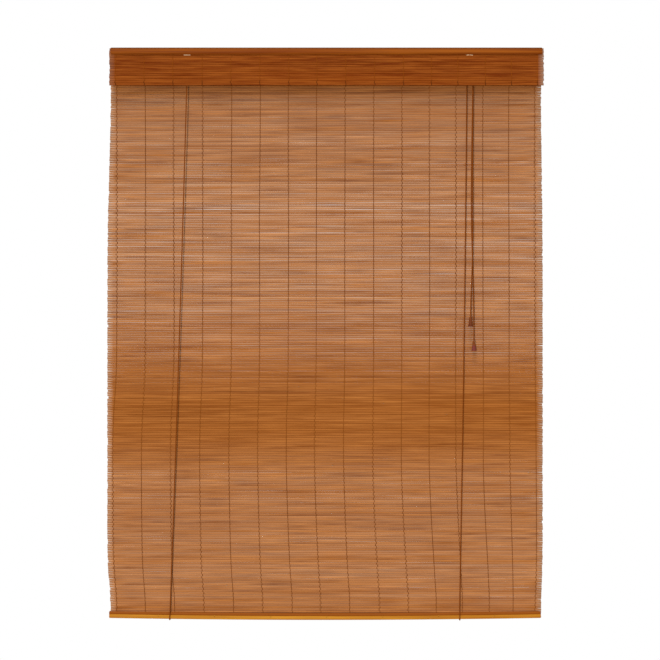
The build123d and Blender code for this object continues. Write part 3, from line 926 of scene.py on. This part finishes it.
# Laid cord: three round strands side by side, turning as they go along. A point's distance from the
# middle is that of the nearest strand's outer side, and the section turns once in each lay length
def laidCord(name, line, length, sideways, diameter=cordSettings["diameter"]):
    radius, sides = diameter / 2 * mm, cordSettings["sides"]
    strands, strand = cordSettings["strands"], cordSettings["strandShare"]
    angle = np.arange(sides) * 2 * pi / sides
    sector = 2 * pi / strands
    toStrand = (angle + sector / 2) % sector - sector / 2
    offset = 1 - strand
    reach = offset * np.cos(toStrand) + np.sqrt(strand**2 - (offset * np.sin(toStrand)) ** 2)
    ahead = np.gradient(line, axis=0)
    ahead /= np.linalg.norm(ahead, axis=1)[:, None]
    across = np.array(sideways) - (ahead @ np.array(sideways))[:, None] * ahead
    across /= np.linalg.norm(across, axis=1)[:, None]
    upward = np.cross(ahead, across)
    run = np.linspace(0, length, len(line))
    turn = (run[:, None] * 2 * pi / (cordSettings["lay"] * mm) + angle)[..., None]
    outward = np.cos(turn) * across[:, None] + np.sin(turn) * upward[:, None]
    mesh = ringMesh(name, (line[:, None] + radius * reach[None, :, None] * outward)[None])
    # Crest: 0 in the valleys, 1 on the strands; the mask of the painted valley shade
    crest = (reach - reach.min()) / (reach.max() - reach.min())
    storeValues(mesh, "crest", np.tile(crest, len(line)))
    around = np.arange(sides) / sides * strands
    along = run / (cordSettings["fibreLength"] * mm)
    storeTwist(mesh, np.tile(around, len(line)), np.repeat(along, sides))
    return mesh


# Stopper knots: node, body and middle in millimetres
knotSettings = {
    "anchorKnotLeft": ("anchor_knots", "headrail", (-289.3, 16.6, -9.2)),
    "anchorKnotRight": ("anchor_knots", "headrail", (291.4, 16.6, -9.2)),
    "upperTasselKnot": ("upper_tassel_knot", "upper_tassel", (298.7, -6.0, -568.8)),
    "lowerTasselKnot": ("lower_tassel_knot", "lower_tassel", (306.1, 0.0, -618.8)),
}
knotSize = {"wide": 1.95, "tall": 1.8, "points": 73}


# Knot line: a three-lobed loop that passes over and under itself, drawn tight. Going round, the
# angle turns twice while the distance from the middle swells three times
def knotLine(middle):
    t = np.linspace(0, 2 * pi, knotSize["points"])
    sideways = (np.sin(t) + 2 * np.sin(2 * t)) / 3 * knotSize["wide"]
    outward = (np.cos(t) - 2 * np.cos(2 * t)) / 3 * knotSize["wide"]
    upward = -np.sin(3 * t) * knotSize["tall"]
    line = (np.stack([sideways, outward, upward], axis=-1) + np.array(middle)) * mm
    return line, np.linalg.norm(np.diff(line, axis=0), axis=1).sum()


for pieceName, (nodeName, body, middle) in knotSettings.items():
    line, length = knotLine(middle)
    mesh = laidCord(pieceName, line, length, (0, 0, 1), cordSettings["tight"])
    place(pieceName, mesh, cordYarn, body, nodeName)


# Wheels that cords run over, in metres. Corner and run are shares of the turn's radius
wheelSettings = {
    "left": -0.2831,
    "lock": 0.2976,
    "frontY": -0.006,
    "rearY": 0.0,
    "z": -0.045,
    "turn": 0.0062,
    "corner": 0.6,
    "run": 6,
}


# Over the wheels: a quarter turn up, a straight run along the headrail and a quarter turn down
def overWheels(first, last, y):
    z, turn = wheelSettings["z"], wheelSettings["turn"]
    corner, run, top = wheelSettings["corner"] * turn, wheelSettings["run"] * turn, z + turn
    up = [(first - turn, z), (first - turn, z + corner), (first - corner, top), (first, top)]
    along = [(first + run, top), (last - run, top), (last, top)] if last > first else []
    down = [(last + corner, top), (last + turn, z + corner), (last + turn, z)]
    return [(x, y, height) for x, height in up + along + down]


# Routes: control points in metres. Lift cords have extra ones close to the rail's corners, where
# they lie tight
leftWheel, lockWheel = wheelSettings["left"], wheelSettings["lock"]
cordRoutes = {
    "right_turn_cord": overWheels(lockWheel, lockWheel, wheelSettings["rearY"]),
    "left_lift_cord": [
        (-0.3262, 0.0124, -1.1864),
        (-0.3262, 0.0090, -1.1864),
        (-0.3262, 0.0054, -1.1864),
        (-0.3260, 0.0054, -1.1810),
        (-0.3252, 0.0053, -1.1644),
        (-0.3246, 0.0050, -1.1490),
        (-0.3098, 0.0008, -0.7400),
        (-0.2893, -0.0060, -0.0750),
        (-0.2893, -0.0060, -0.0450),
    ],
    "left_back_cord": [
        (-0.2893, 0.0166, -0.0120),
        (-0.2893, 0.0166, -0.0750),
        (-0.3260, 0.0194, -1.1710),
        (-0.3262, 0.0194, -1.1810),
        (-0.3262, 0.0194, -1.1864),
        (-0.3262, 0.0158, -1.1864),
        (-0.3262, 0.0124, -1.1864),
    ],
    "right_lift_cord": [
        (0.2772, 0.0124, -1.1870),
        (0.2772, 0.0090, -1.1870),
        (0.2772, 0.0054, -1.1870),
        (0.2771, 0.0054, -1.1816),
        (0.2767, 0.0053, -1.1650),
        (0.2768, 0.0050, -1.1490),
        (0.2866, 0.0022, -0.5800),
        (0.2914, 0.0, -0.0750),
        (0.2914, 0.0, -0.0450),
    ],
    "right_back_cord": [
        (0.2914, 0.0166, -0.0120),
        (0.2914, 0.0166, -0.0750),
        (0.2773, 0.0194, -1.1716),
        (0.2772, 0.0194, -1.1816),
        (0.2772, 0.0194, -1.1870),
        (0.2772, 0.0158, -1.1870),
        (0.2772, 0.0124, -1.1870),
    ],
    "left_pull_cord": [
        (0.3038, -0.0060, -0.0450),
        (0.3038, -0.0060, -0.0750),
        (0.3026, -0.0062, -0.2284),
        (0.3034, -0.0060, -0.3900),
        (0.3022, -0.0058, -0.4500),
        (0.2987, -0.0060, -0.5270),
        (0.2987, -0.0060, -0.5660),
    ],
    "right_pull_cord": [
        (0.3038, 0.0, -0.0450),
        (0.3038, 0.0, -0.0750),
        (0.3010, 0.0002, -0.2307),
        (0.3004, 0.0000, -0.3600),
        (0.3046, -0.0002, -0.4800),
        (0.3061, 0.0, -0.5770),
        (0.3061, 0.0, -0.6160),
    ],
    "left_cross_cord": overWheels(leftWheel, lockWheel, wheelSettings["frontY"]),
}
for nodeName, route in cordRoutes.items():
    firstWord, *words = nodeName.split("_")
    pieceName = firstWord + "".join(word.capitalize() for word in words)
    line, length = splinePoints(route)
    overWheel = nodeName in ("left_cross_cord", "right_turn_cord")
    mesh = laidCord(pieceName, line, length, (0, 1, 0) if overWheel else (1, 0, 0))
    piece = addPiece(pieceName, mesh, cordYarn)
    isPull = "pull" in nodeName
    fixed, low = (route[-1], route[0]) if "lift" in nodeName else (route[0], route[-1])
    if isPull:
        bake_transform(piece)
    else:
        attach(piece, "headrail")
    if "lift" in nodeName or "back" in nodeName:
        flattenOnLift(piece, fixed, fixed[2] - low[2])
    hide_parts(nodeName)
    print(pieceName, "length", round(length, 4))


# Lath: a section carried from end to end along a bow that is a parabola. Rings are evenly spaced,
# with one more close to each end, and the end rings are drawn in to a share of the section
def lathMesh(name, section, settings):
    half, endRound = settings["halfLength"], settings["endRound"]
    x = np.linspace(-half, half, settings["rings"])
    x = np.concatenate([[x[0], x[0] + endRound], x[1:-1], [x[-1] - endRound, x[-1]]])
    shares = np.ones((len(x), 1, 1))
    shares[[0, -1]] = settings["endShare"]
    middle = (section.max(0) + section.min(0)) / 2
    shaped = middle + (section - middle) * shares
    shaped[..., 1] += settings["bow"] * (x[:, None] / half) ** 2
    along = np.broadcast_to(x[:, None, None] + settings["middle"], (*shaped.shape[:2], 1))
    return ringMesh(name, np.concatenate([along, shaped], axis=-1)[None] * mm)


# Bottom rail, in millimetres. A lath's outline is depth behind its front and height above its lower
# edge. The front one has a stained strip set back above its round lower half
railSettings = {
    "middle": -3.2,
    "halfLength": 449.0,
    "bow": 4.0,
    "bottom": -1187.0,
    "rings": 39,
    "endRound": 1.2,
    "endShare": 0.86,
}
railLaths = {
    "railFront": {
        "node": "bottom_rail_front",
        "front": 7.0,
        "outline": (
            *((4, 0.9), (3.1, 0), (1.4, 0), (0.4, 0.5), (0, 1.6), (0, 6.2), (0.4, 7.3)),
            *((1.3, 7.9), (1.5, 8.2), (0.9, 8.4), (0.8, 13.1), (1.5, 14), (3.2, 14), (4, 13.2)),
        ),
        "stain": (0, 0, 0, 0, 0, 0, 0, 0, 0.6, 1, 1, 1, 1, 1),
    },
    "railRear": {
        "node": "bottom_rail_rear",
        "front": 13.8,
        "outline": (
            *((4, 1.6), (3.6, 0.5), (2.6, 0), (0.9, 0), (0, 0.9)),
            *((0, 13.1), (0.9, 14), (2.6, 14), (3.6, 13.5), (4, 12.4)),
        ),
        "stain": (0, 0, 0, 0, 0, 0, 0, 0, 0, 0),
    },
}
for pieceName, lath in railLaths.items():
    section = np.array(lath["outline"]) + (lath["front"], railSettings["bottom"])
    mesh = lathMesh(pieceName, section, railSettings)
    storeValues(mesh, "band", np.tile(lath["stain"], len(mesh.vertices) // len(section)))
    place(pieceName, mesh, goldenLathWood, "bottom_rail", lath["node"])
print("bottom rail made")


# Top lath, in millimetres: split from a thick cane, so its face is round
topLathSettings = {
    "middle": 0.0,
    "halfLength": 446.0,
    "bow": 0.0,
    "height": 14.0,
    "back": -13.8,
    "thickness": 4.0,
    "upperEdge": 3.5,
    "lowerEdge": 1.0,
    "edgeRound": 0.5,
    "crownPower": 0.7,
    "faceShares": (-1, -0.92, -0.72, -0.4, 0, 0.4, 0.72, 0.94, 1),
    "backShares": (0.95, 0, -0.95),
    "rings": 25,
    "endRound": 1.0,
    "endShare": 0.9,
}


# Top lath's section: the face stands out by an edge thickness plus a crown that falls off towards
# both edges, and the back is flat
def topLathSection(settings):
    face, half = np.array(settings["faceShares"]), settings["height"] / 2
    edge = np.where(face > 0, settings["upperEdge"], settings["lowerEdge"])
    reach = edge + (settings["thickness"] - edge) * (1 - face**2) ** settings["crownPower"]
    reach[[0, -1]] -= settings["edgeRound"]
    reach = np.append(reach, np.zeros(len(settings["backShares"])))
    shares = np.append(face, settings["backShares"])
    return np.stack([settings["back"] - reach, shares * half - half], axis=-1)


topLathMesh = lathMesh("topLath", topLathSection(topLathSettings), topLathSettings)
place("topLath", topLathMesh, topLathWood, "headrail", "valance_lath")
print("top lath made")


# Finishes of CAD nodes that stay in view. Axles, screws and other small hardware are bright steel
nodeFinishes = {
    "headrail": battenWood,
    "upper_tassel": upperTasselWood,
    "lower_tassel": lowerTasselWood,
    "lock_cam": platedSteel,
    "left_pulley_bracket": enamelSteel,
    "lock_bracket": enamelSteel,
    "valance_lath_pins": topLathWood,
    "valance_staples": paleWire,
    "bottom_rail_pins": goldenLathWood,
    "left_pulley_wheel": nylonBrown,
    "front_lock_wheel": nylonBrown,
    "rear_lock_wheel": nylonBrown,
}
for nodeName, node in nodes.items():
    if not node.hide_render:
        node.data.materials.clear()
        node.data.materials.append(nodeFinishes.get(nodeName, wireSteel))
print("CAD nodes finished")


# Stage: a pale floor below the reach of the pull cords, and a white backdrop
stageSettings = {
    "floor": -2.85,
    "halfSize": 4.0,
    "paint": (0.86, 0.86, 0.85, 1),
    "roughness": 0.8,
    "backdrop": (1, 1, 1, 1),
    "ambient": 0.36,
}
reach, level = stageSettings["halfSize"], stageSettings["floor"]
floorCorners = [(x * reach, y * reach, level) for x, y in ((-1, -1), (1, -1), (1, 1), (-1, 1))]
floorMesh = bpy.data.meshes.new("floor")
floorMesh.from_pydata(floorCorners, [], [(0, 1, 2, 3)])
floorPaint, _, floorShader = newMaterial("floorPaint")
floorShader.inputs["Base Color"].default_value = stageSettings["paint"]
floorShader.inputs["Roughness"].default_value = stageSettings["roughness"]
addPiece("floor", floorMesh, floorPaint)

# Three lamps one above the other stand for one tall, narrow soft box at the upper left: cords throw
# soft shadows to the right, and the valance throws one that fades downwards
softBox = {
    "turn": -10.0,
    "heights": (-5.0, 32.0, 60.0),
    "strengths": (1.34, 0.57, 0.86),
    "softness": 6.0,
}
for height, power in zip(softBox["heights"], softBox["strengths"]):
    lampData = bpy.data.lights.new("softBox", "SUN")
    lampData.energy = power
    lampData.angle = radians(softBox["softness"])
    lamp = addObject(lampData.name, lampData)
    lamp.rotation_euler = (radians(90 - height), 0, radians(softBox["turn"]))

# World: white where it is seen or mirrored, and dimmer as light on the blind
world = bpy.data.worlds.new("studio")
world.use_nodes = True
bpy.context.scene.world = world
worldTree = world.node_tree
backdrop = worldTree.nodes["Background"]
rays = addNode(worldTree, "ShaderNodeLightPath").outputs
seen = mathNode(worldTree, rays["Is Camera Ray"], rays["Is Glossy Ray"], "MAXIMUM")
seen = mathNode(worldTree, seen, rays["Is Transmission Ray"], "MAXIMUM")
strength = spread(worldTree, seen, 0, 1, stageSettings["ambient"], 1.0)
backdrop.inputs["Color"].default_value = stageSettings["backdrop"]
worldTree.links.new(strength, backdrop.inputs["Strength"])
print("stage lit")
